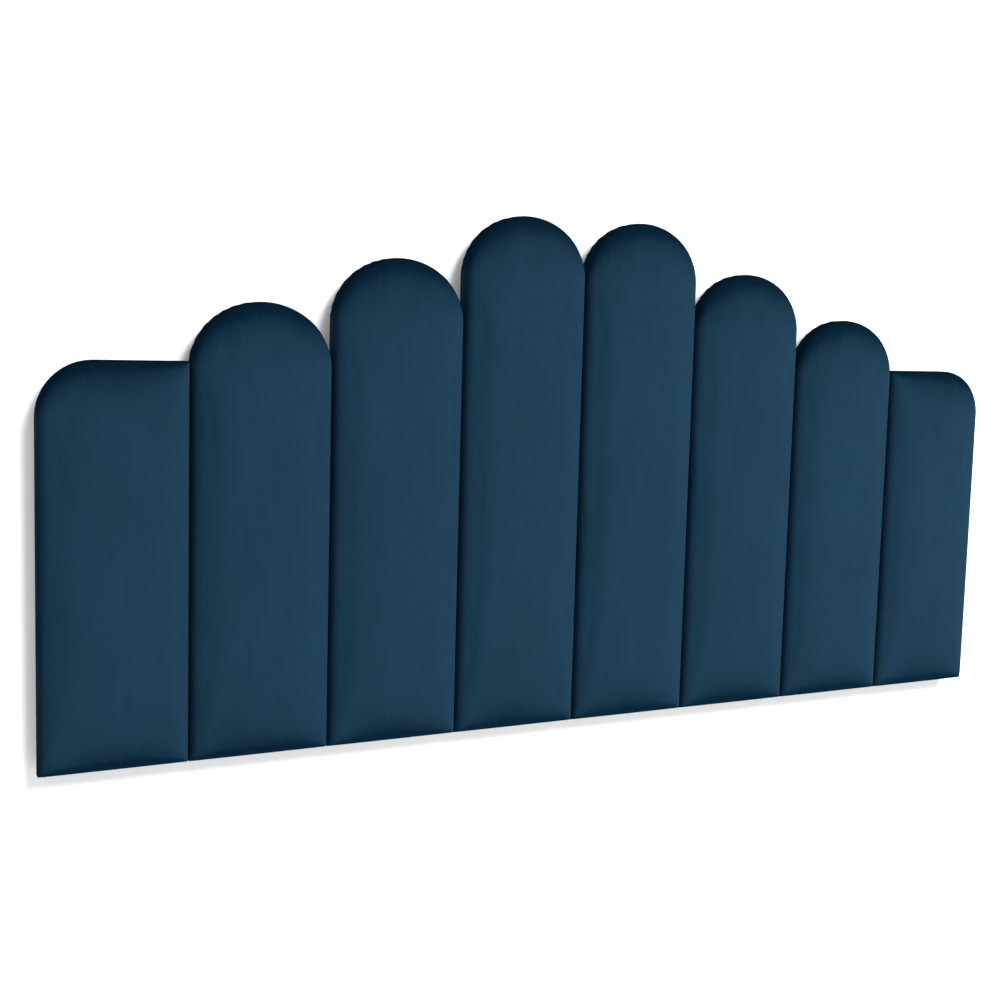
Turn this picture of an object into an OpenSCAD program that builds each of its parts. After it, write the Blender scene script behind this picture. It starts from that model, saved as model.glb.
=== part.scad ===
// Wall-hung upholstered headboard. Eight separately covered panels with arched tops are
// screwed to rails behind, and the rails hang on a bevelled cleat fixed to the wall.
// X runs along the wall, +Y points into the wall and +Z is up. The origin lies on the wall's
// face, midway along the row of screw holes in the wall cleat.

/* [Panels] */
// Distance from one panel's centre line to the next
panel_pitch = 200; // [180:5:220]
// Slot between neighbouring panels
panel_gap = 2; // [1:0.5:4]
// Height of the panel at each end
end_h = 542; // [530:1:560]
// Height of the second panel from each end
shoulder_h = 623; // [600:1:640]
// Height of the third panel from each end
upper_h = 690; // [670:1:710]
// Height of the two middle panels
crown_h = 759; // [740:1:780]
// Rise of an arched top above its straight sides
arch_h = 90; // [80:1:99]
// Radius of the two outer top corners
corner_r = 75; // [40:5:90]

/* [Upholstery] */
// Thickness of the board inside each panel
board_t = 12; // [12:1:18]
// Depth of the foam at the middle of a panel
foam_t = 22; // [18:1:40]
// Roundness of the foam: a low number gives a domed pad, a high number a flat one
foam_crown = 3.4; // [2.4:0.2:5]
// Thickness of the velvet cover
cover_t = 1.2; // [0.8:0.1:2]
// Width of the cover's edge where it is turned in behind the board
flap_w = 30; // [26:1:36]
// Thickness of the dust cover on the back
dust_t = 0.5; // [0.3:0.1:0.8]

/* [Rails] */
// Thickness of the wall cleat, the hanging cleat and the crown batten
cleat_t = 18; // [15:1:22]
// Height of the wall cleat
wall_cleat_h = 60; // [50:5:80]
// Length of the wall cleat
wall_cleat_len = 1100; // [1000:20:1300]
// Height of the hanging cleat
hanging_cleat_h = 70; // [60:5:80]
// Height of the lower batten
lower_batten_h = 60; // [40:5:80]
// Height of the crown batten
crown_batten_h = 50; // [40:5:60]
// Length of the crown batten
crown_batten_len = 320; // [310:5:340]
// Thickness of a felt pad
pad_t = 3; // [2:0.5:5]
// Diameter of a felt pad
pad_d = 30; // [20:2:40]

/* [Fasteners] */
// Diameter of the wall screws' clearance holes
wall_hole_d = 6; // [5:0.5:8]
// Distance between the two inner wall screws
wall_screw_inner = 300; // [200:20:400]
// Distance between the two outer wall screws
wall_screw_outer = 900; // [700:20:940]
// Shank diameter of the screws that hold the panels to the rails
screw_d = 4; // [3.5:0.5:5]
// Depth that those screws bite into a board
screw_bite = 9; // [6:1:10]
// Crown width of a staple
staple_w = 10; // [8:1:12]
// Leg length of a staple
staple_leg = 8; // [6:1:9]
// Spacing of the staples along an edge
staple_step = 90; // [70:10:120]

/* [Hidden] */
PANELS = 8;
PANEL_PIECES = ["board", "foam", "cover", "dust_cover"];
function piece_name(i, piece) = str("panel_", i, "_", piece);

// The headboard's bottom edge, and the places of the rails
base_z = -430;
lower_batten_lift = 50;
crown_batten_drop = 145;
lower_batten_z = base_z + lower_batten_lift;
crown_batten_z = base_z + crown_h - crown_batten_drop;
rail_end_inset = 40;

// Distances in front of the wall, from the wall outwards
wall_play = 1;
slack = 0.3;
panel_back = wall_play + cleat_t;
dust_front = panel_back + dust_t;
flap_front = dust_front + cover_t;
board_back = flap_front + slack;
board_front = board_back + board_t;
foam_front = board_front + foam_t;
cover_front = foam_front + slack + cover_t;

// Depth of the foam's straight side, before it starts to round over
skirt = foam_t / 8;

// Facets on round holes, pads and panel corners, and on screws
round_facets = 48;
screw_facets = 32;

// Distances in from a panel's edge
board_edge = cover_t + slack;
dust_edge = 6;
dust_staple_edge = 12;
cover_staple_edge = 22;

half_w = (panel_pitch - panel_gap) / 2;
board_length = PANELS * panel_pitch;
heights = [end_h, shoulder_h, upper_h, crown_h];
rail_len = board_length - 2 * rail_end_inset;

// The two bevels meet at 45 degrees, with a little clearance measured upwards
bevel_gap = 0.2;
cleat_top = wall_cleat_h / 2;
tongue_z = cleat_top - cleat_t + wall_play + bevel_gap;
hanging_top = tongue_z + hanging_cleat_h;

screw_head_d = 2 * screw_d;
hole_play = 0.5;
screw_hole_d = screw_d + hole_play;
countersink_d = screw_head_d + hole_play;
screw_x = 45;
hanging_screw_z = tongue_z + cleat_t + (hanging_cleat_h - cleat_t) / 2;
lower_screw_z = lower_batten_z + lower_batten_h / 2;
crown_screw_z = crown_batten_z + crown_batten_h / 2;
crown_panels = [4, 5];
staple_wire = 0.6;
arch_staple_turns = [30, 70, 110, 150];
pad_xs = [-650, -250, 250, 650];

velvet = [0.12, 0.24, 0.34];
plywood = [0.80, 0.66, 0.46];
pine = [0.86, 0.72, 0.50];
foam_yellow = [0.93, 0.88, 0.68];
zinc = [0.75, 0.76, 0.78];
dust_black = [0.10, 0.10, 0.11];
felt_grey = [0.45, 0.45, 0.46];

function height_of(i) = heights[min(i, PANELS + 1 - i) - 1];
function centre_x(i) = (i - (PANELS + 1) / 2) * panel_pitch;
function is_end(i) = i == 1 || i == PANELS;
function arch_z(i) = height_of(i) - arch_h;

// Depth of the foam at a distance in from its edge, as a share of its full depth
function crown_at(share) = pow(1 - pow(1 - share, foam_crown), 1 / foam_crown);

// Puts the children of a panel where that panel stands; the right half mirrors the left
module at_panel(i) {
    translate([centre_x(i), 0, base_z])
        mirror([i > PANELS / 2 ? 1 : 0, 0, 0])
            children();
}

// Extrudes a flat outline, drawn as X and Z, between two distances in front of the wall
module slab(near, far) {
    translate([0, -near, 0])
        rotate([90, 0, 0])
            linear_extrude(far - near)
                children();
}

// A panel's outline, drawn a distance in from its edge
module panel_outline(i, edge) {
    w = half_w - edge;
    top = height_of(i) - edge;
    if (is_end(i)) {
        r = max(corner_r - edge, 1);
        translate([-w + r, edge]) square([2 * w - r, top - edge]);
        translate([-w, edge]) square([2 * w, top - r - edge]);
        translate([-w + r, top - r]) circle(r, $fn = round_facets);
    } else {
        translate([-w, edge]) square([2 * w, arch_z(i) - edge]);
        translate([0, arch_z(i)])
            scale([1, (arch_h - edge) / w])
                circle(w, $fn = round_facets);
    }
}

// A pad with a crowned face: outlines that step inwards as they come forwards
module pad(i, edge, near, middle, far) {
    steps = 7;
    last_share = 0.92;
    skin = 0.05;
    hull() {
        slab(near, middle) panel_outline(i, edge);
        for (k = [1:steps]) {
            share = last_share * (1 - cos(90 * k / steps));
            depth = middle + (far - middle) * crown_at(share);
            slab(depth - skin, depth) panel_outline(i, edge + share * (half_w - edge));
        }
    }
}

module panel_board(i) {
    color(plywood) at_panel(i)
        slab(board_back, board_front) panel_outline(i, board_edge);
}

module panel_foam(i) {
    color(foam_yellow) at_panel(i)
        pad(i, board_edge, board_front, board_front + skirt, foam_front);
}

module panel_cover(i) {
    color(velvet) at_panel(i) difference() {
        pad(i, 0, dust_front, board_front + skirt, cover_front);
        pad(i, cover_t, flap_front, board_front + skirt, foam_front + slack);
        slab(panel_back, board_back) panel_outline(i, flap_w);
    }
}

module panel_dust_cover(i) {
    color(dust_black) at_panel(i)
        slab(panel_back, dust_front) panel_outline(i, dust_edge);
}

// A length of timber along X, from its end outline drawn as Y and Z
module rail(length, outline) {
    rotate([90, 0, 90])
        linear_extrude(length, center = true)
            polygon(outline);
}

// Rectangular end outline of a batten
function batten_outline(near, z, h) =
    [[-near, z], [-panel_back, z], [-panel_back, z + h], [-near, z + h]];

// A hole along Y with a countersink; it starts a distance in front of the wall
module countersunk_hole(near, far, hole_d, head_d) {
    over = 1;
    sink = (head_d - hole_d) / 2;
    translate([0, -near + over, 0])
        rotate([90, 0, 0])
            cylinder(h = far - near + 2 * over, d = hole_d, $fn = round_facets);
    translate([0, -near, 0])
        rotate([90, 0, 0])
            cylinder(h = sink, d1 = head_d, d2 = hole_d, $fn = round_facets);
}

// The places of the screws in one rail, two in each panel that it crosses
function rail_screws(panels) = [for (i = panels) for (s = [-1, 1]) centre_x(i) + s * screw_x];

module rail_holes(near, z, panels) {
    for (x = rail_screws(panels))
        translate([x, 0, z])
            countersunk_hole(near, panel_back, screw_hole_d, countersink_d);
}

module wall_cleat() {
    wall_screws = [wall_screw_inner, wall_screw_outer] / 2;
    outline = [
        [0, -cleat_top], [-cleat_t, -cleat_top],
        [-cleat_t, cleat_top], [0, cleat_top - cleat_t]
    ];
    color(pine) difference() {
        rail(wall_cleat_len, outline);
        for (x = wall_screws) for (s = [-1, 1])
            translate([s * x, -cleat_t, 0])
                rotate([0, 0, 180])
                    countersunk_hole(0, cleat_t, wall_hole_d, 2 * wall_hole_d);
    }
}

module hanging_cleat() {
    outline = [
        [-wall_play, tongue_z], [-panel_back, tongue_z + cleat_t],
        [-panel_back, hanging_top], [-wall_play, hanging_top]
    ];
    color(pine) difference() {
        rail(rail_len, outline);
        rail_holes(wall_play, hanging_screw_z, [1:PANELS]);
    }
}

module crown_batten() {
    color(pine) difference() {
        rail(crown_batten_len, batten_outline(wall_play, crown_batten_z, crown_batten_h));
        rail_holes(wall_play, crown_screw_z, crown_panels);
    }
}

module lower_batten() {
    color(pine) difference() {
        rail(rail_len, batten_outline(pad_t, lower_batten_z, lower_batten_h));
        rail_holes(pad_t, lower_screw_z, [1:PANELS]);
    }
}

module felt_pads() {
    color(felt_grey) for (x = pad_xs)
        translate([x, 0, lower_screw_z])
            rotate([90, 0, 0])
                cylinder(h = pad_t, d = pad_d, $fn = round_facets);
}

// A countersunk wood screw along -Y, with its head's face a distance in front of the wall
module wood_screw(near) {
    tip = board_back + screw_bite;
    point = 1.5 * screw_d;
    head_h = (screw_head_d - screw_d) / 2;
    tip_d = 0.2 * screw_d;
    slot = [screw_d, 0.3 * screw_d, 0.5 * screw_d];
    translate([0, -near, 0]) rotate([90, 0, 0]) difference() {
        union() {
            cylinder(h = head_h, d1 = screw_head_d, d2 = screw_d, $fn = screw_facets);
            cylinder(h = tip - near - point, d = screw_d, $fn = screw_facets);
            translate([0, 0, tip - near - point])
                cylinder(h = point, d1 = screw_d, d2 = tip_d, $fn = screw_facets);
        }
        for (turn = [0, 90]) rotate([0, 0, turn]) cube(slot, center = true);
    }
}

module panel_screws() {
    color(zinc) {
        for (x = rail_screws([1:PANELS])) {
            translate([x, 0, hanging_screw_z]) wood_screw(wall_play);
            translate([x, 0, lower_screw_z]) wood_screw(pad_t);
        }
        for (x = rail_screws(crown_panels))
            translate([x, 0, crown_screw_z]) wood_screw(wall_play);
    }
}

// Evenly spaced places between two ends, about one staple step apart
function spread(from, to) =
    let (n = max(1, round((to - from) / staple_step)))
    [for (k = [0:n]) from + (to - from) * k / n];

// Staple places along a panel's outline, each as X, Z and the direction of the edge
function staple_spots(i, edge) =
    let (
        w = half_w - edge,
        low = edge + staple_step / 2,
        end_r = max(corner_r - edge, 1),
        top = height_of(i) - edge
    )
    concat(
        [for (x = spread(-w / 2, w / 2)) [x, edge, 0]],
        is_end(i) ? [
            for (z = spread(low, top - end_r)) [-w, z, 90],
            for (z = spread(low, top - staple_step / 3)) [w, z, 90],
            for (x = spread(-w + end_r, w - staple_step / 3)) [x, top, 0],
            [-w + end_r * (1 - cos(45)), top - end_r * (1 - sin(45)), 45]
        ] : [
            for (s = [-1, 1]) for (z = spread(low, arch_z(i) - edge)) [s * w, z, 90],
            for (turn = arch_staple_turns)
                [w * cos(turn), arch_z(i) + (arch_h - edge) * sin(turn), turn - 90]
        ]
    );

// One wire staple with its crown along X and its legs along -Y
module staple(near) {
    for (x = [-staple_w / 2, staple_w / 2 - staple_wire])
        translate([x, -near - staple_leg, -staple_wire])
            cube([staple_wire, staple_leg, 2 * staple_wire]);
    translate([-staple_w / 2, -near - staple_wire, -staple_wire])
        cube([staple_w, staple_wire, 2 * staple_wire]);
}

module staple_rows(near, edge) {
    color(zinc) for (i = [1:PANELS])
        at_panel(i)
            for (spot = staple_spots(i, edge))
                translate([spot.x, 0, spot.y])
                    rotate([0, -spot.z, 0])
                        staple(near);
}

module cover_staples() {
    staple_rows(dust_front, cover_staple_edge);
}

module dust_cover_staples() {
    staple_rows(panel_back, dust_staple_edge);
}

for (i = [1:PANELS]) {
    panel_board(i);
    panel_foam(i);
    panel_cover(i);
    panel_dust_cover(i);
}
wall_cleat();
hanging_cleat();
crown_batten();
lower_batten();
felt_pads();
panel_screws();
cover_staples();
dust_cover_staples();
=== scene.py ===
"""Looks for the wall-hung velvet headboard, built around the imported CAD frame.

Lengths are in metres: X runs along the wall, +Y into it and +Z up. Each panel's cover, foam and
dust cover is rebuilt as soft goods; rails, screws and staples keep their CAD shape.
"""

import math

import bpy
import numpy as np
from mathutils import Matrix, Vector, kdtree


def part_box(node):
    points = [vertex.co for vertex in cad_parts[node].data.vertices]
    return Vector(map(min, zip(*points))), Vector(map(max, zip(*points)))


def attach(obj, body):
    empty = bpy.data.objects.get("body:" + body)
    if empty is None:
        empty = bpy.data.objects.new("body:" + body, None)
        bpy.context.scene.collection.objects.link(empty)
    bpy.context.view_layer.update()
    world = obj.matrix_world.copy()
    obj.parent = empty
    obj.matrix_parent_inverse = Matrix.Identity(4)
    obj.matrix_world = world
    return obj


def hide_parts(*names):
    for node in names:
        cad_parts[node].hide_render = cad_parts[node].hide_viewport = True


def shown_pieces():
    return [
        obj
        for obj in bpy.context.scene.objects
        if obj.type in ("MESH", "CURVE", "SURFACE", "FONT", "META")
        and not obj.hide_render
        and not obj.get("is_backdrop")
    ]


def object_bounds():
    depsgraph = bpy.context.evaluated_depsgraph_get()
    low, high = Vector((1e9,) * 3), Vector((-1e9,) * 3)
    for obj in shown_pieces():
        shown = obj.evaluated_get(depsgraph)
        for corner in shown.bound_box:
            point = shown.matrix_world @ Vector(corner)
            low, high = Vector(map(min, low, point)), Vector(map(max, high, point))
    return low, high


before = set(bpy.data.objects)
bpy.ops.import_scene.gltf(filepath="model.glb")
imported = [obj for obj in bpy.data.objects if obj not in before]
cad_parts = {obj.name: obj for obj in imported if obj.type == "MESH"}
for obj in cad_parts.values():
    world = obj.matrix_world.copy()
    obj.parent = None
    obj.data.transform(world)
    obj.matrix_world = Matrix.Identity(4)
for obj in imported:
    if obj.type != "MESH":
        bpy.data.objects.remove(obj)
cad_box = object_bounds()

PANELS = range(1, 9)
BODY = "headboard"
CORNER_R = 0.075       # outer top corner of the end panels
CORNER_SOFT = 0.3      # how softly the pad's crease runs in from that corner, as a share of it
ARCH_H = 0.090         # rise of the other panels' arched tops
CLOTH_T = 0.0012       # thickness of the velvet
FLAP_W = 0.030         # width of the cover's edge behind the board
FOAM_CROWN = 3.0       # roundness of the pad's profile
SKIRT = 1 / 8          # straight side of a pad, as a share of its depth
CELL = 0.0070          # mesh spacing on a pad
SEED = 11


# ---------------------------------------------------------------- panel geometry

class Panel:
    """Where one panel stands, read from its CAD cover and board."""

    def __init__(self, i):
        low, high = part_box(f"panel_{i}_cover")
        self.i = i
        self.x = (low.x + high.x) / 2
        self.bottom = low.z
        self.height = high.z - low.z
        self.half_w = (high.x - low.x) / 2
        self.front = low.y
        self.flap = high.y
        board_low, board_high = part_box(f"panel_{i}_board")
        self.board_front = board_low.y
        self.board_back = board_high.y
        self.is_end = i in (PANELS[0], PANELS[-1])
        self.side = 1 if i > len(PANELS) / 2 else -1
        self.arch = self.height - ARCH_H


def blend_in(a, b):
    """Distance in from two edges at once, with no crease where they meet."""
    return a + b - np.sqrt(a * a + b * b)


def inset_of(panel, x, z):
    """Distance in from the panel's outline, for x from its centre line and z from its bottom."""
    if not panel.is_end:
        over = np.maximum(z - panel.arch, 0) * panel.half_w / ARCH_H
        side = panel.half_w - np.hypot(x, over)
        return blend_in(np.maximum(side, 0), np.maximum(z, 0))
    outer = panel.half_w - panel.side * x
    inner = panel.half_w + panel.side * x
    top = panel.height - z
    corner = CORNER_R - np.hypot(np.maximum(CORNER_R - outer, 0), np.maximum(CORNER_R - top, 0))
    corner = np.where((outer > CORNER_R) & (top > CORNER_R), np.minimum(outer, top), corner)
    corner = np.minimum(corner, blend_in(outer, top) + CORNER_R * CORNER_SOFT)
    edges = blend_in(np.maximum(corner, 0), np.maximum(inner, 0))
    return blend_in(edges, np.maximum(z, 0))


def crown(share):
    """Depth of the pad at a share of the way in from its edge, from 0 to 1."""
    share = np.clip(share, 0, 1)
    return (1 - (1 - share) ** FOAM_CROWN) ** (1 / FOAM_CROWN)


def skirt_y(front, back):
    """Where a pad's straight side ends and its face starts to round over."""
    return back - (back - front) * SKIRT


def edge_steps(width, depth, cell):
    """Insets from an edge to the middle, evenly spaced along the pad's curved profile."""
    s = np.linspace(0, 1, 400) ** 2
    run = np.concatenate([[0], np.cumsum(np.hypot(np.diff(s) * width, np.diff(crown(s)) * depth))])
    count = max(int(round(run[-1] / cell)), 4)
    return np.interp(np.linspace(0, run[-1], count + 1), run, s)


ROLL_REACH = 0.3       # dense rows fill at most this share of a panel's straight part
CORNER_REACH = 0.8     # and this share of an outer corner


def grid_steps(panel, cell):
    """Column and row parameters of a panel's mesh: dense where the pad rolls over."""
    depth = panel.board_front - panel.front
    share = edge_steps(panel.half_w, depth, cell)
    columns = np.concatenate([-1 + share, (1 - share)[::-1][1:]])
    bend = CORNER_R if panel.is_end else ARCH_H
    body = panel.height - bend
    low = share[share * panel.half_w < body * ROLL_REACH] * panel.half_w / body
    count = int(round((1 - low[-1]) * body / cell))
    body_rows = np.concatenate([low, np.linspace(low[-1], 1, count + 1)[1:]])
    if panel.is_end:
        bend_share = share[share * panel.half_w < bend * CORNER_REACH] * panel.half_w / bend
        count = int(round((1 - bend_share[-1]) * bend / cell))
        rest = np.linspace(bend_share[-1], 1, count + 1)[1:]
        bend_share = np.concatenate([bend_share, rest])
    else:
        bend_share = share
    bend_rows = (1 - bend_share)[::-1][1:]
    return columns, body_rows, bend_rows


def place(panel, columns, body_rows, bend_rows, inset):
    """X and Z of the mesh's points, with the outline drawn a distance in from the panel's edge."""
    w = panel.half_w - inset
    rows = len(body_rows) + len(bend_rows)
    x = np.zeros((rows, len(columns)))
    z = np.zeros_like(x)
    if panel.is_end:
        r = CORNER_R - inset
        knee_x, knee_z = -w + r, panel.height - CORNER_R
        straight = np.interp(columns, [-1, 1], [-w, w])
        turned = np.clip((knee_x - straight) / r, 0, 1)
        v = np.concatenate([np.zeros(len(body_rows)), bend_rows])[:, None]
        x[:] = np.where(straight < knee_x, knee_x - r * turned * np.sqrt(1 - v * v / 2), straight)
        z[:] = knee_z + r * v * np.sqrt(1 - turned * turned / 2)
        z[:len(body_rows)] = (inset + body_rows * (knee_z - inset))[:, None]
        if panel.side > 0:
            x = -x[:, ::-1]
            z = z[:, ::-1]
        return x, z
    v = np.concatenate([np.zeros(len(body_rows)), bend_rows])[:, None]
    x[:] = w * columns * np.sqrt(1 - v * v / 2)
    z[:] = panel.arch + (ARCH_H - inset) * v * np.sqrt(1 - columns * columns / 2)
    z[:len(body_rows)] = (inset + body_rows * (panel.arch - inset))[:, None]
    return x, z


def rim(grid):
    """A grid's border points, counter-clockwise from its lower left corner."""
    return np.concatenate([grid[0, :-1], grid[:-1, -1], grid[-1, :0:-1], grid[:0:-1, 0]])


def make_object(name, points, faces):
    mesh = bpy.data.meshes.new(name)
    mesh.from_pydata([tuple(map(float, p)) for p in points], [], [tuple(map(int, f)) for f in faces])
    mesh.validate()
    obj = bpy.data.objects.new(name, mesh)
    bpy.context.scene.collection.objects.link(obj)
    for poly in mesh.polygons:
        poly.use_smooth = True
    return obj


def grid_faces(rows, cols, first=0):
    a = first + np.arange(rows - 1)[:, None] * cols + np.arange(cols - 1)[None, :]
    return np.stack([a, a + 1, a + cols + 1, a + cols], axis=-1).reshape(-1, 4)


def ring_faces(outer, inner):
    """Quads between two closed rings of point numbers."""
    o2, i2 = np.roll(outer, -1), np.roll(inner, -1)
    return np.stack([outer, inner, i2, o2], axis=-1)


# ---------------------------------------------------------------- soft goods

def noise_field(seed, lengths, count, stretch):
    """A smooth seeded field over X and Z, from -1 to 1: waves with lengths between the two given."""
    local = np.random.default_rng(seed)
    angle = local.uniform(0, 2 * math.pi, count)
    size = local.uniform(*lengths, count)
    phase = local.uniform(0, 2 * math.pi, count)
    weight = local.uniform(0.4, 1, count)

    def field(x, z):
        total = np.zeros(np.shape(x))
        for a, s, p, k in zip(angle, size, phase, weight):
            total += k * np.sin(2 * math.pi * (x * math.cos(a) + z * math.sin(a) / stretch) / s + p)
        return total / np.sum(weight)

    return field


def pad_mesh(panel, inset, front, middle, rings, cell):
    """Points and faces of a pad's skin: a crowned front, then rings that lead round to the back.

    Each ring is a pair: its distance in from the panel's edge, and its Y.
    """
    steps = grid_steps(panel, cell)
    x, z = place(panel, *steps, inset)
    share = inset_of(panel, x, z) / panel.half_w
    if inset > 0:
        share = np.maximum(share - inset / panel.half_w, 0)
    y = middle + (front - middle) * crown(share)
    rows, cols = x.shape
    points = [np.stack([x, y, z], axis=-1).reshape(-1, 3)]
    faces = [grid_faces(rows, cols)]
    ring = rim(np.arange(rows * cols).reshape(rows, cols))
    first = rows * cols
    for ring_inset, ring_y in rings:
        rx, rz = place(panel, *steps, ring_inset)
        rx, rz = rim(rx), rim(rz)
        points.append(np.stack([rx, np.full_like(rx, ring_y), rz], axis=-1))
        new = first + np.arange(len(rx))
        faces.append(ring_faces(ring, new))
        ring, first = new, first + len(rx)
    return np.concatenate(points), np.concatenate(faces), (rows, cols)


CLOTH_SETTINGS = {
    "quality": 6, "mass": 0.25, "air_damping": 3, "tension_stiffness": 40,
    "compression_stiffness": 30, "shear_stiffness": 12, "bending_stiffness": 0.6,
    "use_pressure": True, "uniform_pressure_force": 1.6, "pin_stiffness": 1,
}
SIM_FRAMES = 16


def relax(obj, pinned):
    """Runs Blender's cloth on a skin that is held where pinned is 1, and returns its points."""
    group = obj.vertex_groups.new(name="held")
    for weight in np.unique(np.round(pinned, 2)):
        if weight > 0:
            chosen = np.flatnonzero(np.round(pinned, 2) == weight)
            group.add([int(v) for v in chosen], float(weight), "REPLACE")
    cloth = obj.modifiers.new("cloth", "CLOTH")
    for key, value in CLOTH_SETTINGS.items():
        setattr(cloth.settings, key, value)
    cloth.settings.vertex_group_mass = group.name
    cloth.settings.effector_weights.gravity = 0
    cloth.point_cache.frame_start = 1
    cloth.point_cache.frame_end = SIM_FRAMES
    scene = bpy.context.scene
    scene.frame_start, scene.frame_end = 1, SIM_FRAMES
    for number in range(1, SIM_FRAMES + 1):
        scene.frame_set(number)
    evaluated = obj.evaluated_get(bpy.context.evaluated_depsgraph_get())
    points = np.empty(len(obj.data.vertices) * 3)
    evaluated.data.vertices.foreach_get("co", points)
    obj.modifiers.remove(cloth)
    obj.vertex_groups.remove(group)
    scene.frame_set(1)
    return points.reshape(-1, 3)


def read_points(obj):
    points = np.empty(len(obj.data.vertices) * 3)
    obj.data.vertices.foreach_get("co", points)
    return points.reshape(-1, 3)


def write_points(obj, points):
    obj.data.vertices.foreach_set("co", np.ascontiguousarray(points, dtype=np.float32).ravel())
    obj.data.update()


def apply_modifier(obj, kind, **values):
    """Adds one modifier and makes its result the object's mesh."""
    modifier = obj.modifiers.new(kind.lower(), kind)
    for key, value in values.items():
        setattr(modifier, key, value)
    evaluated = obj.evaluated_get(bpy.context.evaluated_depsgraph_get())
    mesh = bpy.data.meshes.new_from_object(evaluated)
    obj.modifiers.clear()
    old, obj.data = obj.data, mesh
    mesh.name = obj.name
    bpy.data.meshes.remove(old)
    for poly in mesh.polygons:
        poly.use_smooth = True


def smooth_step(value, low, high):
    t = np.clip((value - low) / (high - low), 0, 1)
    return t * t * (3 - 2 * t)


SWELL = 0.0022         # how much shallower a pad starts, as its cloth swells it
HELD_FADE = 0.012      # how far in front of the board the cloth becomes free
BULGE_CAP = 0.0028     # how far the cloth may swell from the pad's plain profile
SIDE_CAP = 0.0005      # how far it may swell towards its neighbour
PLEAT = 0.0007         # depth of the gathers round an arch, near its back edge
PLEATS = 34            # gathers in a full turn
PLEAT_WANDER = 1.3     # how unevenly they are spaced
TUCK_W = 0.030         # width of a folded corner at the back edge
TUCK_T = 0.0010        # how far it stands out
FOLD_SOFT = 0.0018     # softness of the fold's edge
WALL_NEAR = 0.0004     # a point this close to the bottom wall takes the whole fold
WALL_FAR = 0.0016      # and one this far from it none
CREASES = 2            # creases above each panel's bottom edge
CREASE_T = 0.00055     # depth of the deepest
CREASE_W = 0.0045      # half its width
CREASE_LOW = 0.008     # height of the lowest above the edge
CREASE_HIGH = 0.017    # and of the highest
CREASE_TILT = 0.05     # steepest slope along one
WAVE_T = 0.00055       # depth of the soft waves over a pad's face
WAVE_LENGTHS = (0.07, 0.19)    # shortest and longest
ROLL = 0.004           # reach of the blends at a pad's edges
EDGE_SHADE_W = 0.033        # how far in from the top and bottom edges the painted shade reaches
EDGE_SHADE_TURN = 1.3       # how soon that ends as the edge turns upright
EDGE_SHADE_FADE = 1.6       # how sharply it ends away from the edge


def cap_moves(panel, start, end, front, middle):
    """Limits how far the cloth moved, and keeps it off its foam and out of the slot between panels."""
    move = end - start
    length = np.maximum(np.linalg.norm(move, axis=1), 1e-9)
    move *= (BULGE_CAP * np.tanh(length / BULGE_CAP) / length)[:, None]
    points = start + move
    limit = panel.half_w + SIDE_CAP
    points[:, 0] = np.clip(points[:, 0], -limit, limit)
    points[:, 2] = np.maximum(points[:, 2], -SIDE_CAP)
    share = inset_of(panel, points[:, 0], points[:, 2]) / panel.half_w
    foam_y = middle + (front - middle) * crown(share)
    points[:, 1] = np.minimum(points[:, 1], np.where(start[:, 1] < middle, foam_y, start[:, 1]))
    return points


def tuck_corners(panel, points, middle):
    """The cover's folded corners: a flap one cloth thick on the bottom wall, at both ends."""
    x, y, z = points.T
    run = np.clip((y - middle) / (panel.flap - middle), 0, 1)
    inside = smooth_step(TUCK_W * run - (panel.half_w - np.abs(x)), -FOLD_SOFT, FOLD_SOFT)
    on_wall = 1 - smooth_step(z, WALL_NEAR, WALL_FAR)
    along = smooth_step(run, 0.02, 0.15) * (1 - smooth_step(run, 0.93, 1.0))
    z = z - TUCK_T * inside * on_wall * along
    return np.stack([x, y, z], axis=-1)


def pull_creases(panel, points, on_face):
    """A few shallow creases above the bottom edge, where the velvet is drawn under."""
    local = np.random.default_rng(SEED * 7 + panel.i)
    x, y, z = points.T
    for _ in range(CREASES):
        at = local.uniform(-0.6, 0.6) * panel.half_w
        reach = local.uniform(0.25, 0.6) * panel.half_w
        height = local.uniform(CREASE_LOW, CREASE_HIGH)
        tilt = local.uniform(-CREASE_TILT, CREASE_TILT)
        depth = local.uniform(0.2, 1.0) * CREASE_T
        along = np.exp(-((x - at) / reach) ** 4)
        across = (z - height - tilt * (x - at)) / CREASE_W
        y = y - depth * on_face * along * across * np.exp(0.5 - across * across)
    return np.stack([x, y, z], axis=-1)


def dress(panel, points, middle):
    """Adds what the simulation leaves out: soft waves, arch gathers and tucked corners."""
    face = smooth_step(-points[:, 1], -middle + 0.003, -panel.front - ROLL)
    points = pull_creases(panel, tuck_corners(panel, points, middle), face)
    x, y, z = points.T
    inset = inset_of(panel, x, z)
    on_face = smooth_step(-y, -panel.board_front + 0.006, -panel.front - 0.002)
    waves = noise_field(SEED + panel.i, WAVE_LENGTHS, count=9, stretch=1.7)(x, z)
    y = y - WAVE_T * waves * on_face * smooth_step(inset, ROLL, 0.03)
    back = smooth_step(y, panel.board_front - ROLL, panel.board_back)
    if not panel.is_end:
        over = (z - panel.arch) * panel.half_w / ARCH_H
        angle = np.arctan2(over, x)
        wander = PLEAT_WANDER * np.sin(5 * angle + panel.i)
        ripple = 0.5 + 0.5 * np.cos(PLEATS * angle + wander)
        fade = back * smooth_step(z, panel.arch - 0.005, panel.arch + 0.02)
        radius = np.maximum(np.hypot(x, over), 1e-6)
        rim_only = smooth_step(radius, panel.half_w - ROLL, panel.half_w - 0.001)
        pull = PLEAT * ripple * fade * rim_only / radius
        x = x - x * pull
        z = z - (z - panel.arch) * pull
    return np.stack([x, y, z], axis=-1)


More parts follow.
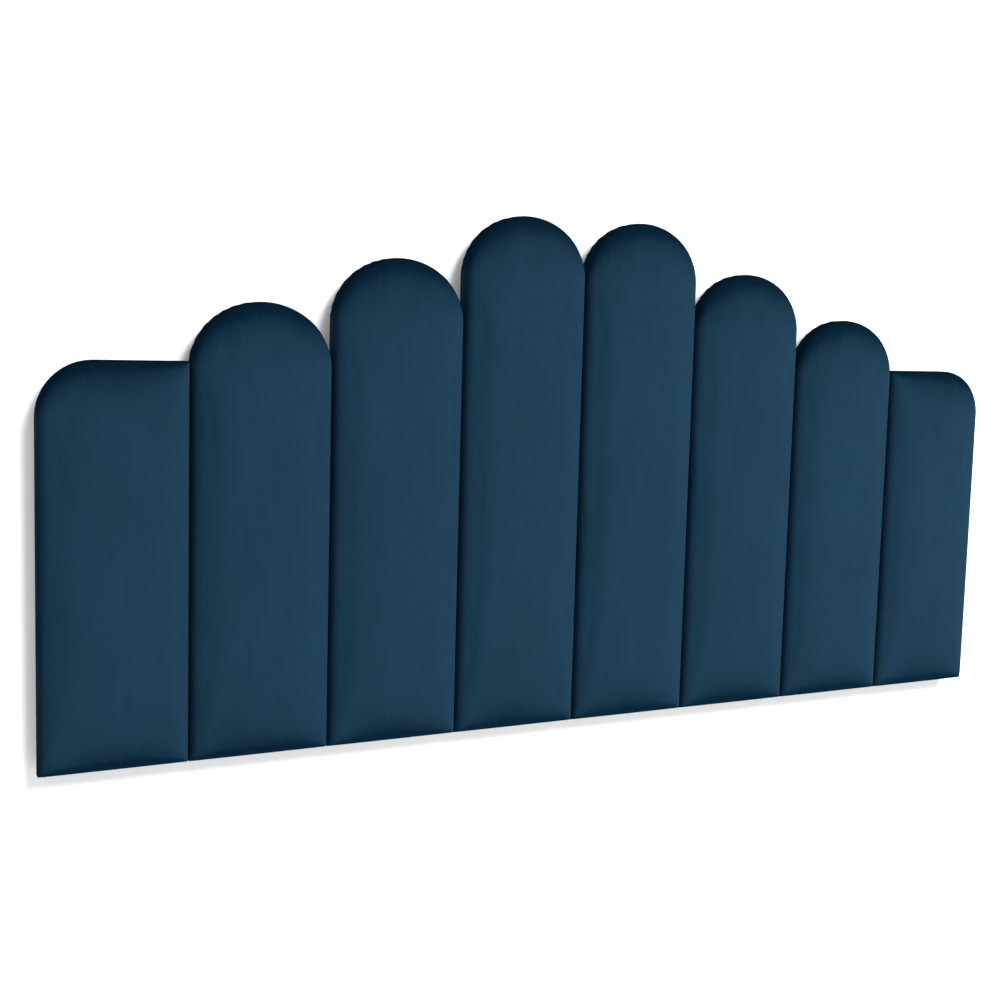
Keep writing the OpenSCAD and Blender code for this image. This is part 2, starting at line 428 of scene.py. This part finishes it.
def paint_edge_shade(panel, skin):
    """Sets painted shade along the top and bottom edges, as the point attribute the velvet reads."""
    x, _, z = (read_points(skin) - [panel.x, 0, panel.bottom]).T
    step = 0.0005
    rise = (inset_of(panel, x, z + step) - inset_of(panel, x, z - step)) / (2 * step)
    inset = np.maximum(inset_of(panel, x, z), 0)
    # Painted shade: strongest at an edge that runs across, fading away in from it.
    edge_shade = np.clip(np.abs(rise), 0, 1) ** EDGE_SHADE_TURN * np.exp(-(inset / EDGE_SHADE_W) ** EDGE_SHADE_FADE)
    layer = skin.data.attributes.new("edge_shade", "FLOAT", "POINT")
    layer.data.foreach_set("value", edge_shade.astype(np.float32))


TURN_R = 0.002         # radius of the cover's turn behind the board


def turned_edge(panel, middle):
    """Rings that lead from a pad's skirt round the board's back edge to the end of the flap."""
    rings = [(0.0, y) for y in np.linspace(middle, panel.flap - TURN_R, 6)[1:]]
    rings += [(0.3 * TURN_R, panel.flap - 0.35 * TURN_R), (TURN_R, panel.flap)]
    return rings + [(inset, panel.flap) for inset in np.linspace(TURN_R, FLAP_W, 5)[1:]]


def make_cover(panel):
    """One panel's velvet: a skin that is relaxed as cloth, then given the fabric's thickness."""
    middle = skirt_y(panel.front, panel.board_front)
    rings = turned_edge(panel, middle)
    front = panel.front + SWELL
    points, faces, shape = pad_mesh(panel, 0, front, middle, rings, CELL)
    skin = make_object(f"cover_{panel.i}", points, faces)
    front_points = shape[0] * shape[1]
    free = smooth_step(-points[:, 1], -panel.board_front, -panel.board_front + HELD_FADE)
    pinned = 1 - free
    pinned[front_points:] = 1
    moved = relax(skin, pinned)
    write_points(skin, cap_moves(panel, points, moved, front, middle))
    apply_modifier(skin, "SUBSURF", levels=1)
    dressed = dress(panel, read_points(skin), middle)
    write_points(skin, dressed + [panel.x, 0, panel.bottom])
    apply_modifier(skin, "SOLIDIFY", thickness=CLOTH_T, offset=-1, use_even_offset=True)
    # Marks painted shade along the top and bottom edges.
    paint_edge_shade(panel, skin)
    return skin


FOAM_UNDER = 0.0008    # gap between a cover and the foam's sides
FOAM_BACK = 0.0005     # and how much deeper its face lies
FOAM_CELL = 2 * CELL   # mesh spacing on the foam


def make_foam(panel):
    """The foam inside one cover: a closed pad that stays just under the velvet."""
    under = CLOTH_T + FOAM_UNDER
    front = panel.front + SWELL + under + FOAM_BACK
    back = panel.board_front
    middle = skirt_y(front, back)
    points, faces, shape = pad_mesh(panel, under, front, middle, [(under, back)], FOAM_CELL)
    rows, cols = shape
    x, z = place(panel, *grid_steps(panel, FOAM_CELL), under)
    inner = np.stack([x, np.full_like(x, back), z], axis=-1)[1:-1, 1:-1].reshape(-1, 3)
    first_ring = rows * cols
    numbers = np.zeros((rows, cols), dtype=int)
    ring = first_ring + np.arange(len(points) - first_ring)
    border = rim(np.arange(rows * cols).reshape(rows, cols))
    numbers.flat[border] = ring
    numbers[1:-1, 1:-1] = len(points) + np.arange(len(inner)).reshape(rows - 2, cols - 2)
    back_faces = np.stack([numbers[:-1, :-1], numbers[1:, :-1], numbers[1:, 1:], numbers[:-1, 1:]],
                          axis=-1).reshape(-1, 4)
    points = np.concatenate([points, inner]) + [panel.x, 0, panel.bottom]
    return make_object(f"foam_{panel.i}", points, np.concatenate([faces, back_faces]))


SHEET_T = 0.0003       # thickness of a dust cover
HEM_W = 0.010          # width of its turned hem
HEM_T = 0.00012        # how much the hem adds on each side
SHEET_PLAY = 0.00002   # gap between a dust cover's hem and the rails
SAG = 0.0009           # how far the dust cover sinks towards the board
SAG_LENGTHS = (0.035, 0.11)    # shortest and longest of its slack waves
RAIL_FADE = 0.03       # distance from a rail at which it hangs free
DIP = 0.0003           # how far a staple presses into it
DIP_REACH = 0.0085     # and how far from the staple that shows
SHEET_CELL = 0.0050    # mesh spacing on a dust cover


def staple_tree():
    """The backs of the staples that hold the dust covers, for the sheets to dip under."""
    points = [v.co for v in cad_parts["dust_cover_staples"].data.vertices]
    last = max(p.y for p in points)
    backs = [p for p in points if p.y > last - DIP]
    tree = kdtree.KDTree(len(backs))
    for number, point in enumerate(backs):
        tree.insert(point, number)
    tree.balance()
    return tree


def make_dust_cover(panel, rails, staples):
    """A thin non-woven sheet with a turned hem, a little slack between its staples and rails."""
    low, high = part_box(f"panel_{panel.i}_dust_cover")
    edge = panel.half_w - (high.x - low.x) / 2
    x, z = place(panel, *grid_steps(panel, SHEET_CELL), edge)
    inset = inset_of(panel, x, z)
    away = [staples.find((px + panel.x, high.y, pz + panel.bottom))[2]
            for px, pz in zip(x.ravel(), z.ravel())]
    dip = DIP * np.exp(-(np.array(away).reshape(x.shape) / DIP_REACH) ** 2)
    slack = noise_field(50 * SEED + panel.i, SAG_LENGTHS, count=12, stretch=1.2)(x, z)
    sink = smooth_step(inset, FLAP_W + 0.002, FLAP_W + 0.02) * (0.55 + 0.45 * slack)
    for rail_low, rail_high in rails:
        height = z + panel.bottom
        reach = np.maximum(rail_low - height, height - rail_high)
        sink = sink * smooth_step(reach, 0, RAIL_FADE)
    hem = HEM_T * (1 - smooth_step(inset - edge, HEM_W - 0.001, HEM_W + 0.001))
    back = high.y - SHEET_PLAY - HEM_T + hem - SAG * sink - dip
    front = back - SHEET_T - hem
    rows, cols = x.shape
    sheet = [np.stack([x, y, z], axis=-1).reshape(-1, 3) for y in (front, back)]
    count = rows * cols
    faces = [grid_faces(rows, cols), grid_faces(rows, cols, count)[:, ::-1]]
    border = rim(np.arange(count).reshape(rows, cols))
    faces.append(ring_faces(border, border + count))
    points = np.concatenate(sheet) + [panel.x, 0, panel.bottom]
    return make_object(f"dust_sheet_{panel.i}", points, np.concatenate(faces))


# A felt disc's section, as shares of its radius and thickness, from the wall outwards
DISC_SECTION = [(0.5, 0.0), (0.85, 0.0), (0.95, 0.06), (1.0, 0.25), (1.0, 0.9), (0.96, 1.0), (0.5, 1.0)]
DISC_SIDES = 40
DISC_WEAR = 0.012      # how uneven a disc's edge is, as a share of its radius


def left_ends(node, radius):
    """The lowest X of each disc in a node, from left to right."""
    ends = []
    for x in sorted(v.co.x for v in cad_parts[node].data.vertices):
        if not ends or x - ends[-1] > 3 * radius:
            ends.append(x)
    return ends


def make_felt_pads():
    """Felt discs with softly worn edges, on the places of the CAD pads."""
    low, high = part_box("felt_pads")
    thickness = high.y - low.y
    radius = (high.z - low.z) / 2
    centre_z = (high.z + low.z) / 2
    turn = np.arange(DISC_SIDES) * 2 * math.pi / DISC_SIDES
    last_ring = (len(DISC_SECTION) - 1) * DISC_SIDES
    points, faces = [], []
    for left in left_ends("felt_pads", radius):
        first = len(points)
        for share, depth in DISC_SECTION:
            wobble = 1 - DISC_WEAR * np.abs(np.sin(3 * turn + left * 9)) * share
            for t, k in zip(turn, wobble):
                points.append((left + radius + radius * share * k * math.cos(t),
                               high.y - thickness * depth,
                               centre_z + radius * share * k * math.sin(t)))
        hub = len(points)
        points.append((left + radius, high.y, centre_z))
        points.append((left + radius, low.y, centre_z))
        last = first + last_ring
        for k in range(DISC_SIDES):
            n = (k + 1) % DISC_SIDES
            faces.append((hub, first + n, first + k))
            faces.append((hub + 1, last + k, last + n))
            for a in range(first, last, DISC_SIDES):
                faces.append((a + k, a + n, a + DISC_SIDES + n, a + DISC_SIDES + k))
    return make_object("felt_discs", points, faces)


# ---------------------------------------------------------------- materials

class Nodes:
    """A material's node tree, with short calls for the nodes used here."""

    def __init__(self, name):
        self.material = bpy.data.materials.new(name)
        self.material.use_nodes = True
        self.tree = self.material.node_tree
        self.tree.nodes.clear()
        self.out = self.tree.nodes.new("ShaderNodeOutputMaterial")
        self.coords = self.tree.nodes.new("ShaderNodeTexCoord")

    def add(self, kind, inputs=None, **settings):
        node = self.tree.nodes.new("ShaderNode" + kind)
        for key, value in settings.items():
            setattr(node, key, value)
        for key, value in (inputs or {}).items():
            socket = node.inputs[key]
            if isinstance(value, bpy.types.NodeSocket):
                self.tree.links.new(value, socket)
            else:
                socket.default_value = value
        return node

    def scaled(self, scale, turn=(0, 0, 0)):
        return self.add("Mapping", {"Vector": self.coords.outputs["Object"], "Scale": scale,
                                    "Rotation": turn}).outputs["Vector"]

    def noise(self, scale, detail=3, roughness=0.5, distortion=0.0):
        """Noise with its own features per metre along X, Y and Z."""
        return self.add("TexNoise", {"Vector": self.scaled(scale), "Scale": 1.0, "Detail": detail,
                                     "Roughness": roughness,
                                     "Distortion": distortion}).outputs["Fac"]

    def ramp(self, factor, *stops):
        node = self.add("ValToRGB", {"Fac": factor})
        elements = node.color_ramp.elements
        while len(elements) < len(stops):
            elements.new(0.5)
        for element, (position, colour) in zip(elements, stops):
            element.position = position
            element.color = colour if len(colour) == 4 else (*colour, 1)
        return node.outputs["Color"]

    def math(self, operation, a, b=0.0, clamp=False):
        return self.add("Math", {0: a, 1: b}, operation=operation, use_clamp=clamp).outputs[0]

    def spread(self, value, from_low, from_high, low, high):
        return self.add("MapRange", {"Value": value, "From Min": from_low, "From Max": from_high,
                                     "To Min": low, "To Max": high}).outputs["Result"]

    def mix(self, factor, a, b, blend="MIX"):
        return self.add("Mix", {0: factor, 6: a, 7: b}, data_type="RGBA", blend_type=blend).outputs[2]

    def bump(self, height, distance, strength=1.0, under=None):
        inputs = {"Height": height, "Distance": distance, "Strength": strength}
        if under is not None:
            inputs["Normal"] = under
        return self.add("Bump", inputs).outputs["Normal"]

    def surface(self, inputs):
        shader = self.add("BsdfPrincipled", inputs)
        self.tree.links.new(shader.outputs[0], self.out.inputs["Surface"])
        return self.material


def grey(value):
    return (value, value, value, 1)


# The velvet's tone runs between these two colours, moved both by its random nap and by painted shade.
VELVET_DEEP = (0.0020, 0.0120, 0.0250, 1)
VELVET_LIGHT = (0.0110, 0.0480, 0.0860, 1)
EDGE_SHADE_DEPTH = 0.46     # how much the painted shade darkens the velvet's tone along the top and bottom edges


def velvet():
    """Deep-blue pile with a streaky nap, and painted shade: darker on faces turned left, up or down and
    in bands along the top and bottom edges, a little lighter on faces turned right.
    """
    n = Nodes("velvet")
    streaks = n.noise((260, 260, 9), 4, 0.6)
    strands = n.noise((1100, 1100, 60), 2)
    blotches = n.noise((13, 13, 6.5), 4, 0.55, 0.4)
    pile = n.noise((2600, 2600, 2200), 2)
    nap = n.math("MULTIPLY", streaks, 0.35)
    nap = n.math("ADD", nap, n.math("MULTIPLY", blotches, 0.45))
    nap = n.math("ADD", nap, n.math("MULTIPLY", strands, 0.20))
    facing = n.add("SeparateXYZ", {0: n.coords.outputs["Normal"]})
    across, upward = facing.outputs["X"], n.math("ABSOLUTE", facing.outputs["Z"])
    # Painted shade from which way a face turns: lighter turned right, darker turned left, up or down.
    facing_shade = n.math("MULTIPLY", across, 0.12)
    facing_shade = n.math("SUBTRACT", facing_shade, n.math("MULTIPLY", upward, 0.5))
    facing_shade = n.math("ADD", facing_shade, n.math("MULTIPLY", n.math("MINIMUM", across, 0.0), 0.25))
    # Painted shade in bands along the top and bottom edges, from the attribute each cover carries.
    edge_shade = n.add("Attribute", attribute_name="edge_shade").outputs["Fac"]
    facing_shade = n.math("SUBTRACT", facing_shade, n.math("MULTIPLY", edge_shade, EDGE_SHADE_DEPTH))
    tone = n.math("ADD", n.spread(nap, 0.36, 0.64, 0.41, 0.59), facing_shade, clamp=True)
    colour = n.mix(tone, VELVET_DEEP, VELVET_LIGHT)
    fuzz = n.mix(n.spread(pile, 0.3, 0.7, 0.0, 1.0), grey(0.86), grey(1.1))
    colour = n.mix(1.0, colour, fuzz, "MULTIPLY")
    normal = n.bump(pile, 0.00025, 0.5)
    normal = n.bump(streaks, 0.0003, 0.25, normal)
    return n.surface({
        "Base Color": colour, "Roughness": n.spread(nap, 0.35, 0.65, 0.78, 0.95),
        # Specular and sheen fade where the tone is darkest, so they also drop out under the painted
        # shade.
        "Specular IOR Level": n.spread(tone, 0.1, 0.5, 0.0, 0.08),
        "Sheen Weight": n.spread(tone, 0.0, 0.5, 0.0, 0.06),
        "Sheen Roughness": 0.4, "Sheen Tint": (0.08, 0.40, 0.80, 1), "Normal": normal,
    })


PINE_LIGHT = (0.70, 0.50, 0.28)
PINE_MID = (0.56, 0.365, 0.19)
PINE_DARK = (0.42, 0.23, 0.10)


def timber(name, seed):
    """Planed softwood with its grain along X, growth rings on its ends and a few knots."""
    n = Nodes(name)
    moved = n.add("Mapping", {"Vector": n.coords.outputs["Object"], "Scale": (1.6, 34, 34),
                              "Location": (seed, 0.013 * seed, 0)}).outputs["Vector"]
    warp = n.add("TexNoise", {"Vector": moved, "Scale": 0.9, "Detail": 3}).outputs["Fac"]
    ring_place = n.add("Mapping", {"Vector": n.coords.outputs["Object"],
                                   "Location": (0, 0.11, 0.03 * seed), "Scale": (0.05, 1, 1)})
    rings = n.add("TexWave", {"Vector": ring_place.outputs["Vector"], "Scale": 42,
                              "Distortion": 3.2, "Detail": 3, "Detail Scale": 1.4},
                  wave_type="RINGS", rings_direction="X", wave_profile="SAW").outputs["Fac"]
    grain = n.noise((9, 900, 900), 4, 0.6)
    flecks = n.noise((60, 2600, 2600), 2)
    tone = n.math("ADD", n.math("MULTIPLY", rings, 0.55), n.math("MULTIPLY", warp, 0.35))
    tone = n.math("ADD", tone, n.math("MULTIPLY", grain, 0.25))
    colour = n.ramp(tone, (0.25, PINE_LIGHT), (0.62, PINE_MID), (0.95, PINE_DARK))
    knots = n.add("TexVoronoi", {"Vector": n.scaled((3.1, 9, 9)), "Scale": 1.0, "Randomness": 1.0},
                  feature="F1").outputs["Distance"]
    knot = n.spread(knots, 0.05, 0.13, 1, 0)
    colour = n.mix(knot, colour, (0.16, 0.075, 0.03, 1))
    colour = n.mix(n.spread(flecks, 0.62, 0.8, 0, 0.35), colour, (0.30, 0.17, 0.08, 1))
    height = n.math("ADD", n.math("MULTIPLY", grain, 0.7), n.math("MULTIPLY", rings, 0.3))
    return n.surface({"Base Color": colour, "Roughness": n.spread(grain, 0.3, 0.7, 0.52, 0.70),
                      "Specular IOR Level": 0.35, "Normal": n.bump(height, 0.00035, 0.5)})


def plywood():
    """Plywood with its face grain upright and its plies showing on the edges."""
    n = Nodes("plywood")
    plies = n.add("TexWave", {"Vector": n.coords.outputs["Object"], "Scale": 112, "Distortion": 0.4},
                  bands_direction="Y").outputs["Fac"]
    grain = n.noise((700, 700, 8), 4, 0.6)
    figure = n.noise((16, 16, 2.2), 3, 0.5, 1.2)
    colour = n.ramp(figure, (0.3, (0.62, 0.45, 0.27)), (0.7, (0.50, 0.34, 0.19)))
    colour = n.mix(n.math("MULTIPLY", plies, 0.35), colour, (0.27, 0.16, 0.08, 1))
    colour = n.mix(n.spread(grain, 0.5, 0.75, 0, 0.3), colour, (0.28, 0.17, 0.09, 1))
    return n.surface({"Base Color": colour, "Roughness": 0.68, "Normal": n.bump(grain, 0.0003, 0.5)})


def foam_stuff():
    """Open-cell foam, a little yellowed in patches."""
    n = Nodes("foam")
    cells = n.add("TexVoronoi", {"Vector": n.coords.outputs["Object"], "Scale": 900},
                  feature="F1").outputs["Distance"]
    stain = n.noise((14, 14, 14), 3)
    colour = n.ramp(stain, (0.3, (0.86, 0.78, 0.50)), (0.7, (0.80, 0.68, 0.38)))
    colour = n.mix(n.spread(cells, 0.0, 0.5, 0.5, 0), colour, (0.45, 0.36, 0.18, 1))
    return n.surface({"Base Color": colour, "Roughness": 0.95, "Normal": n.bump(cells, 0.0006, 0.8)})


DOT_PITCH = 0.0021     # spacing of the dots pressed into the dust covers


def non_woven():
    """Black spun sheet with its grid of pressed dots and crossing fibres."""
    n = Nodes("dust_cover")
    split = n.add("SeparateXYZ", {0: n.coords.outputs["Object"]})
    turns = 2 * math.pi / DOT_PITCH
    across = n.math("SINE", n.math("MULTIPLY", split.outputs["X"], turns))
    along = n.math("SINE", n.math("MULTIPLY", split.outputs["Z"], turns))
    dots = n.spread(n.math("MULTIPLY", across, along), 0.35, 0.75, 0, 1)
    fibres = n.noise((2300, 2300, 420), 3, 0.7)
    cross = n.noise((420, 2300, 2300), 3, 0.7)
    web = n.math("MAXIMUM", fibres, cross)
    clouds = n.noise((45, 45, 45), 4, 0.6)
    colour = n.ramp(n.math("ADD", n.math("MULTIPLY", web, 0.6), n.math("MULTIPLY", clouds, 0.5)),
                    (0.4, (0.0045, 0.0045, 0.005)), (0.85, (0.026, 0.026, 0.029)))
    colour = n.mix(n.math("MULTIPLY", dots, 0.5), colour, (0.004, 0.004, 0.0045, 1))
    height = n.math("SUBTRACT", n.math("MULTIPLY", web, 0.6), n.math("MULTIPLY", dots, 0.8))
    return n.surface({"Base Color": colour, "Roughness": n.spread(dots, 0, 1, 0.8, 0.45),
                      "Specular IOR Level": 0.3, "Sheen Weight": 0.1, "Sheen Roughness": 0.5,
                      "Normal": n.bump(height, 0.00025, 0.7)})


def felt():
    """Grey pressed felt with loose fibres."""
    n = Nodes("felt")
    fibres = n.noise((1500, 1500, 1500), 5, 0.75, 2.5)
    tufts = n.noise((260, 260, 260), 3, 0.6)
    colour = n.ramp(n.math("ADD", n.math("MULTIPLY", fibres, 0.7), n.math("MULTIPLY", tufts, 0.3)),
                    (0.32, (0.07, 0.07, 0.075)), (0.5, (0.16, 0.16, 0.17)), (0.7, (0.30, 0.30, 0.31)))
    return n.surface({"Base Color": colour, "Roughness": 0.95, "Sheen Weight": 0.4,
                      "Sheen Roughness": 0.5, "Normal": n.bump(fibres, 0.0006, 0.9)})


def plated(name, colour, dull, roughness):
    """Plated steel: a bright coat with cloudy dull patches and fine handling scratches."""
    n = Nodes(name)
    clouds = n.noise((420, 420, 420), 4, 0.6)
    scratches = n.noise((3800, 300, 3800), 2, 0.6)
    tint = n.ramp(clouds, (0.35, colour), (0.7, dull))
    rough = n.math("ADD", n.spread(clouds, 0.3, 0.7, roughness, roughness + 0.18),
                   n.spread(scratches, 0.5, 0.8, 0, 0.12))
    return n.surface({"Base Color": tint, "Metallic": 1.0, "Roughness": rough,
                      "Normal": n.bump(scratches, 0.00004, 0.5)})


def paint(obj, material):
    obj.data.materials.clear()
    obj.data.materials.append(material)


def paint_node(node, material):
    paint(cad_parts[node], material)


# ---------------------------------------------------------------- build the object

RAILS = ["wall_cleat", "hanging_cleat", "crown_batten", "lower_batten"]


def stand_in(obj, node, material):
    """Shows a soft piece in place of its CAD node, on the body that hangs."""
    paint(obj, material)
    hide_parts(node)
    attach(obj, BODY)


def rails_behind(panel):
    """The lowest and highest Z of each rail that is screwed to a panel's back."""
    bands = []
    for rail in RAILS[1:]:
        low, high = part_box(rail)
        if low.x < panel.x < high.x:
            bands.append((low.z, high.z))
    return bands


def build_object():
    staples = staple_tree()
    cloth, padding, dust, ply = velvet(), foam_stuff(), non_woven(), plywood()
    for panel in map(Panel, PANELS):
        node = f"panel_{panel.i}_"
        stand_in(make_cover(panel), node + "cover", cloth)
        stand_in(make_foam(panel), node + "foam", padding)
        sheet = make_dust_cover(panel, rails_behind(panel), staples)
        stand_in(sheet, node + "dust_cover", dust)
        paint_node(node + "board", ply)
    stand_in(make_felt_pads(), "felt_pads", felt())
    for seed, rail in enumerate(RAILS, 1):
        paint_node(rail, timber(f"pine_{rail}", seed))
    paint_node("panel_screws", plated("zinc", (0.66, 0.67, 0.70), (0.42, 0.43, 0.45), 0.28))
    wire = plated("staple_wire", (0.62, 0.63, 0.64), (0.38, 0.38, 0.39), 0.36)
    paint_node("cover_staples", wire)
    paint_node("dust_cover_staples", wire)


# ---------------------------------------------------------------- stage, light and camera

FLOOR_DROP = 0.90      # height of the headboard's lower edge above the floor
WALL_SIZE = 14.0       # width of the wall and of the floor


def plane(name, corners):
    obj = make_object(name, corners, [(0, 1, 2, 3)])
    obj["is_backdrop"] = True
    return obj


def stage_material(name, colour, glow, one_sided):
    """Pale matt paint, with the faint unevenness of a rolled coat."""
    n = Nodes(name)
    mottle = n.noise((3, 3, 3), 3)
    coat = n.mix(mottle, grey(colour * 0.985), grey(colour))
    texture = n.noise((700, 700, 700), 2)
    paint_shader = n.add("BsdfPrincipled", {
        "Base Color": coat, "Roughness": 0.9, "Specular IOR Level": 0.1,
        "Emission Color": grey(1.0), "Emission Strength": glow,
        "Normal": n.bump(texture, 0.0002, 0.15)})
    result = paint_shader.outputs[0]
    if one_sided:
        clear = n.add("BsdfTransparent")
        side = n.add("NewGeometry").outputs["Backfacing"]
        result = n.add("MixShader", {0: side, 1: result, 2: clear.outputs[0]}).outputs[0]
    n.tree.links.new(result, n.out.inputs["Surface"])
    return n.material


def build_stage(low, high):
    half = WALL_SIZE / 2
    floor_z = low.z - FLOOR_DROP
    wall = plane("wall_backdrop", [(-half, 0, floor_z), (half, 0, floor_z),
                                   (half, 0, floor_z + half), (-half, 0, floor_z + half)])
    paint(wall, stage_material("wall_paint", 0.86, 0.10, True))
    wall.visible_diffuse = False
    wall.visible_glossy = False
    wall.visible_transmission = False
    wall.visible_shadow = False
    floor = plane("floor", [(-half, -half, floor_z), (half, -half, floor_z),
                            (half, half, floor_z), (-half, half, floor_z)])
    paint(floor, stage_material("floor_paint", 0.84, 0.0, False))
    return [wall, floor]


def collection_of(name, objects):
    made = bpy.data.collections.new(name)
    for obj in objects:
        made.objects.link(obj)
    return made


def soft_light(name, place, size, power, receivers):
    """A square softbox that shines on the given objects alone."""
    data = bpy.data.lights.new(name, "AREA")
    data.shape = "SQUARE"
    data.size = size
    data.energy = power
    obj = bpy.data.objects.new(name, data)
    bpy.context.scene.collection.objects.link(obj)
    obj.location = place
    obj.rotation_mode = "QUATERNION"
    direction = Vector(LIT_CENTRE) - Vector(place)
    obj.rotation_quaternion = direction.to_track_quat("-Z", "Y")
    obj.light_linking.receiver_collection = collection_of(name + "_receivers", receivers)


# Each softbox's name, place, size and power, and what it lights
SOFTBOXES = [
    ("key", (4.0, -5.2, 1.0), 1.6, 330, "object"),
    ("fill", (-2.6, -5.0, 0.4), 2.6, 40, "object"),
    ("behind", (-1.6, 3.2, 1.4), 2.5, 60, "object"),
    ("stage_key", (2.9, -8.0, 6.6), 4.6, 1900, "stage"),
]
LIT_CENTRE = (0, 0, -0.05)
SKY_LIGHT = 0.55       # strength of the pale sky as a light
SKY_SEEN = 1.0         # and as a backdrop


def build_lights(stage):
    receivers = {"object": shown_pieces(), "stage": stage}
    for name, place, size, power, lit in SOFTBOXES:
        soft_light(name, place, size, power, receivers[lit])
    world = bpy.data.worlds.new("studio")
    bpy.context.scene.world = world
    world.use_nodes = True
    tree = world.node_tree
    background = tree.nodes["Background"]
    background.inputs["Color"].default_value = (0.97, 0.98, 1.0, 1)
    strength = tree.nodes.new("ShaderNodeMath")
    strength.operation = "MULTIPLY_ADD"
    seen = tree.nodes.new("ShaderNodeLightPath").outputs["Is Camera Ray"]
    tree.links.new(seen, strength.inputs[0])
    strength.inputs[1].default_value = SKY_SEEN - SKY_LIGHT
    strength.inputs[2].default_value = SKY_LIGHT
    tree.links.new(strength.outputs[0], background.inputs["Strength"])


LENS = 55.2                                    # in millimetres
CAMERA_FROM_CORNER = (-0.381, -1.968, 0.599)   # from the face's lower left corner
CAMERA_TURN = math.radians(27.78)              # to the right of straight at the wall
CAMERA_DIP = math.radians(6.47)
CAMERA_ROLL = math.radians(1.56)


def build_camera(low):
    data = bpy.data.cameras.new("camera")
    data.lens = LENS
    obj = bpy.data.objects.new("camera", data)
    bpy.context.scene.collection.objects.link(obj)
    turn = Matrix.Rotation(-CAMERA_TURN, 4, "Z") @ Matrix.Rotation(math.pi / 2 - CAMERA_DIP, 4, "X")
    turn = turn @ Matrix.Rotation(CAMERA_ROLL, 4, "Z")
    place = Vector(low) + Vector(CAMERA_FROM_CORNER)
    obj.matrix_world = Matrix.Translation(place) @ turn
    bpy.context.scene.camera = obj


build_object()
face_low, face_high = cad_box
build_lights(build_stage(face_low, face_high))
build_camera(face_low)
bpy.context.scene.view_settings.view_transform = "Standard"
